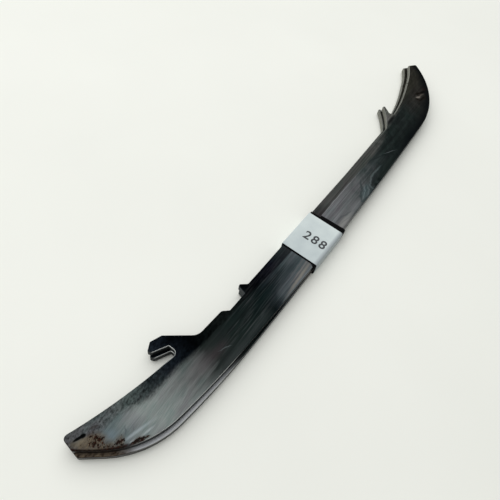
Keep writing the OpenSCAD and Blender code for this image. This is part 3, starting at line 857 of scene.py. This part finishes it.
def buildRustGrains():
    # Flaked rust: dull dark grains, red brown where they are fresh
    material = cloudyMaterial("iron oxide, flaked", rustGrains["look"])
    corner = Vector((toeTip, topEdge, 0))
    outline = [(p - corner) / mm for p in outlineOf(frame["nodes"]["upper_runner"])]
    half = rustGrains["cell"] / 2
    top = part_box("upper_runner")[1].z
    points = []
    faces = []
    for x, y in rustCells(outline):
        faces.append([len(points) + k for k in range(4)])
        for dx, dy in ((-half, -half), (half, -half), (half, half), (-half, half)):
            place = corner + Vector((x + dx, y + dy, 0)) * mm
            points.append((place.x, place.y, top))
    field = bpy.data.meshes.new("rustField")
    field.from_pydata(points, [], faces)
    values = {"Density": rustGrains["perSquareMm"] / mm ** 2, "Radius": rustGrains["radius"] * mm,
              "Surface": material}
    mesh = grown(newObject("rustField", field), grainsTree(), values, "rust_grains")
    return newPiece("rust_grains", mesh, "upper_runner")


buildRustGrains()

# Wound strips: tape and label follow a path round the pair
windings = {
    "hookRound": 0.4,  # mm, bend round the top edges
    "edgeRound": 0.75,  # mm, bend round the working edges
    "bendSteps": 7,
    "straight": 1.5,  # mm, longest straight piece of a path
    "sharp": 50,  # degrees, above which an edge isn't smoothed
}


def bentPath(corners, rounds):  # points of a path through (y, z) corners in mm with each corner rounded
    points = [Vector(corners[0])]
    for i in range(1, len(corners) - 1):
        here = Vector(corners[i])
        back = (Vector(corners[i - 1]) - here).normalized()
        ahead = (Vector(corners[i + 1]) - here).normalized()
        half = back.angle(ahead) / 2
        middle = here + (back + ahead).normalized() * rounds[i - 1] / math.sin(half)
        start = here + back * rounds[i - 1] / math.tan(half) - middle
        end = here + ahead * rounds[i - 1] / math.tan(half) - middle
        for k in range(windings["bendSteps"] + 1):
            turned = start.lerp(end, k / windings["bendSteps"])
            points.append(middle + turned.normalized() * rounds[i - 1])
    points.append(Vector(corners[-1]))
    fine = [points[0]]
    for point in points[1:]:
        pieces = max(1, round((point - fine[-1]).length / windings["straight"]))
        start = fine[-1].copy()
        fine += [start.lerp(point, (k + 1) / pieces) for k in range(pieces)]
    return fine


def stripTree():
    inputs = {"Path": "Geometry", "Width": "Float", "Thickness": "Float", "Surface": "Material"}
    tree, given = geometryTree("woundStrip", inputs, "Strip")
    facing = addNode(tree, "GeometryNodeSetCurveNormal", {"mode": "FREE"}, {
        "Curve": given["Path"], "Normal": (1, 0, 0)})
    section = addNode(tree, "GeometryNodeCurvePrimitiveQuadrilateral", {"mode": "RECTANGLE"}, {
        "Width": given["Width"], "Height": given["Thickness"]})
    swept = addNode(tree, "GeometryNodeCurveToMesh", None, {
        "Curve": facing, "Profile Curve": section, "Fill Caps": True})
    return endTree(tree, swept, given["Surface"], "Strip")


strips = stripTree()


def windStrip(name, path, size, material):  # path: (x, y, z) in mm
    curve = bpy.data.curves.new(name, "CURVE")
    curve.dimensions = "3D"
    spline = curve.splines.new("POLY")
    spline.points.add(len(path) - 1)
    for point, place in zip(spline.points, path):
        point.co = (*(Vector(place) * mm), 1)
    values = {"Width": size["width"] * mm, "Thickness": size["thickness"] * mm, "Surface": material}
    mesh = grown(newObject(name + "Path", curve), strips, values, name)
    mesh.shade_smooth()
    mesh.set_sharp_from_angle(angle=math.radians(windings["sharp"]))
    return mesh


tape = {
    "width": 25.1,  # mm
    "thickness": 0.13,
    "inner": 0.22,  # mm from the band's outside to the middle of the first lap
    "outer": 0.07,  # and of the second lap
    "startDrift": -1.1,  # mm towards the toe, where the tape starts
    "midDrift": 0.45,  # mm towards the heel, on the first lap
    "settle": 1.6,  # mm over which it comes into line
    "endDrift": (2.1, 1.5),  # mm towards the heel, where the last lap starts and where it ends
    "endDepth": 4.8,  # mm from the top edge to the cut end
    "endAhead": 6,  # mm before the last bends, where the last lap starts
    "look": {
        "tones": [(0.3, "#020203"), (0.7, "#070708")],
        "cloud": 0.6,  # mm, rolled grain, coarser than the real one so that it shows
        "surface": {"Roughness": 0.6, "Specular IOR Level": 0.04},
    },
}


def buildTape():
    # Calendered vinyl: dead black with hardly any sheen and a faint rolled grain
    material = cloudyMaterial("black vinyl tape, calendered", tape["look"])
    low, high = (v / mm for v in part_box("binding_band"))
    box = {}
    for lap in ("inner", "outer"):
        inset = tape[lap]
        box[lap] = (low.y + inset, high.y - inset, low.z + inset, high.z - inset)
    edge, hook, bottom, top = box["inner"]
    outEdge, _, outBottom, outTop = box["outer"]
    middle = (bottom + top) / 2
    corners = [(edge, middle), (edge, top), (hook, top), (hook, bottom), (outEdge, outBottom),
               (outEdge, outTop), (topEdge / mm - tape["endDepth"], outTop)]
    bends = [windings[k] for k in ("edgeRound", "hookRound", "hookRound", "edgeRound", "edgeRound")]
    flat = bentPath(corners, bends)
    run = [0]
    for i in range(1, len(flat)):
        run.append(run[-1] + (flat[i] - flat[i - 1]).length)
    start = top - middle
    secondLap = run[-1] - (high.z - low.z) - tape["endDepth"] - tape["endAhead"]
    path = []
    for point, length in zip(flat, run):
        early = min(1, max(0, (length - start) / tape["settle"]))
        late = min(1, max(0, (length - secondLap) / tape["settle"]))
        over = max(0, length - secondLap) / (run[-1] - secondLap)
        endDrift = tape["endDrift"][0] + (tape["endDrift"][1] - tape["endDrift"][0]) * over
        drift = tape["startDrift"] * (1 - early) + tape["midDrift"] * early * (1 - late) + endDrift * late
        path.append((drift, point.x, point.y))
    mesh = windStrip("wound_tape", path, tape, material)
    return newPiece("wound_tape", mesh, "band", "binding_band")


label = {
    "width": 23.1,  # mm
    "thickness": 0.13,
    "outside": 0.012,  # mm inside the solid's outside
    "seamDepth": 3.2,  # mm from the top edge to the middle of the seam underneath
    "seam": 1.4,
    "paper": [(0.1, "#b6c1c3"), (0.9, "#d0dad9")],  # greyer towards the toe
    "fade": (-0.3, 0.3),
    "cloud": 6,  # mm
    "roughness": 0.42,
    "bendShade": (2.4, 0.7),  # mm from the working edge's side, where shade over the bend is painted in grey, from none to full
    "bendShadeTone": "#9ca5a8",
    "number": "288",  # the runner's length in mm
    "numberHeight": 4.9,  # mm
    "numberAt": (-0.3, -1.4),  # mm from the label's middle
    "numberSpacing": 1.25,
    "numberBold": 0.02,  # share of the letter size added to each stroke
    "numberLift": 0.005,
    "ink": {
        "tones": [(0.3, "#202427"), (0.7, "#34393c")],
        "cloud": 0.5,  # mm
        "surface": {"Roughness": 0.5},
    },
}


def buildLabel():
    # Coated paper: cool white, satin, a little uneven over the laps beneath
    material, tree, shader = newMaterial("white label paper, coated")
    place = addNode(tree, "TexCoord").outputs["Object"]
    cloud = addNode(tree, "TexNoise", None, {
        "Vector": place, "Scale": 1 / (label["cloud"] * mm), "Detail": 4})
    low, high = (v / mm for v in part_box("label"))
    at = addNode(tree, "SeparateXYZ", None, {0: place}).outputs
    faded = addNode(tree, "MapRange", None, {
        "Value": at["X"], **between(low.x * mm, high.x * mm, *label["fade"])})
    faded = addNode(tree, "Math", total, {0: faded, 1: cloud})
    tone = addNode(tree, "ValToRGB", {"stops": label["paper"]}, {"Fac": faded})
    # painted shade: the paper greys towards the bend over the working edge
    unshaded, grey = ((low.y + inward) * mm for inward in label["bendShade"])
    bendShade = addNode(tree, "MapRange", smooth, {"Value": at["Y"], **between(unshaded, grey)})
    tone = addNode(tree, "Mix", colours, {0: bendShade, 6: tone, 7: linear(label["bendShadeTone"])})
    addNode(tree, shader, None, {"Base Color": tone, "Roughness": label["roughness"]})
    inset = label["outside"] + label["thickness"] / 2
    edge, hook = low.y + inset, high.y - inset
    bottom, top = low.z + inset, high.z - inset
    seam = topEdge / mm - label["seamDepth"]
    corners = [(seam - label["seam"] / 2, bottom), (edge, bottom), (edge, top), (hook, top), (hook, bottom),
               (seam + label["seam"] / 2, bottom)]
    bends = [windings[k] for k in ("edgeRound", "edgeRound", "hookRound", "hookRound")]
    path = [(0, point.x, point.y) for point in bentPath(corners, bends)]
    mesh = windStrip("label_strip", path, label, material)
    return newPiece("label_strip", mesh, "band", "label")


def buildNumber():
    # Thermal print: dark grey, soft black where it is solid
    material = cloudyMaterial("label print, thermal", label["ink"])
    words = bpy.data.curves.new("number", "FONT")
    words.body = label["number"]
    words.space_character = label["numberSpacing"]
    words.offset = label["numberBold"]
    mesh = frozen(newObject("numberText", words), "label_number")
    low = Vector((min(v.co.x for v in mesh.vertices), min(v.co.y for v in mesh.vertices), 0))
    high = Vector((max(v.co.x for v in mesh.vertices), max(v.co.y for v in mesh.vertices), 0))
    grow = label["numberHeight"] * mm / (high.y - low.y)
    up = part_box("label")[1].z - (label["outside"] - label["numberLift"]) * mm
    at = Matrix.Translation((label["numberAt"][0] * mm, label["numberAt"][1] * mm, up))
    at = at @ Matrix.Rotation(-math.pi / 2, 4, "Z") @ Matrix.Scale(grow, 4)
    mesh.transform(at @ Matrix.Translation(-(low + high) / 2))
    mesh.materials.clear()
    mesh.materials.append(material)
    return newPiece("label_number", mesh, "band")


buildTape()
buildLabel()
buildNumber()
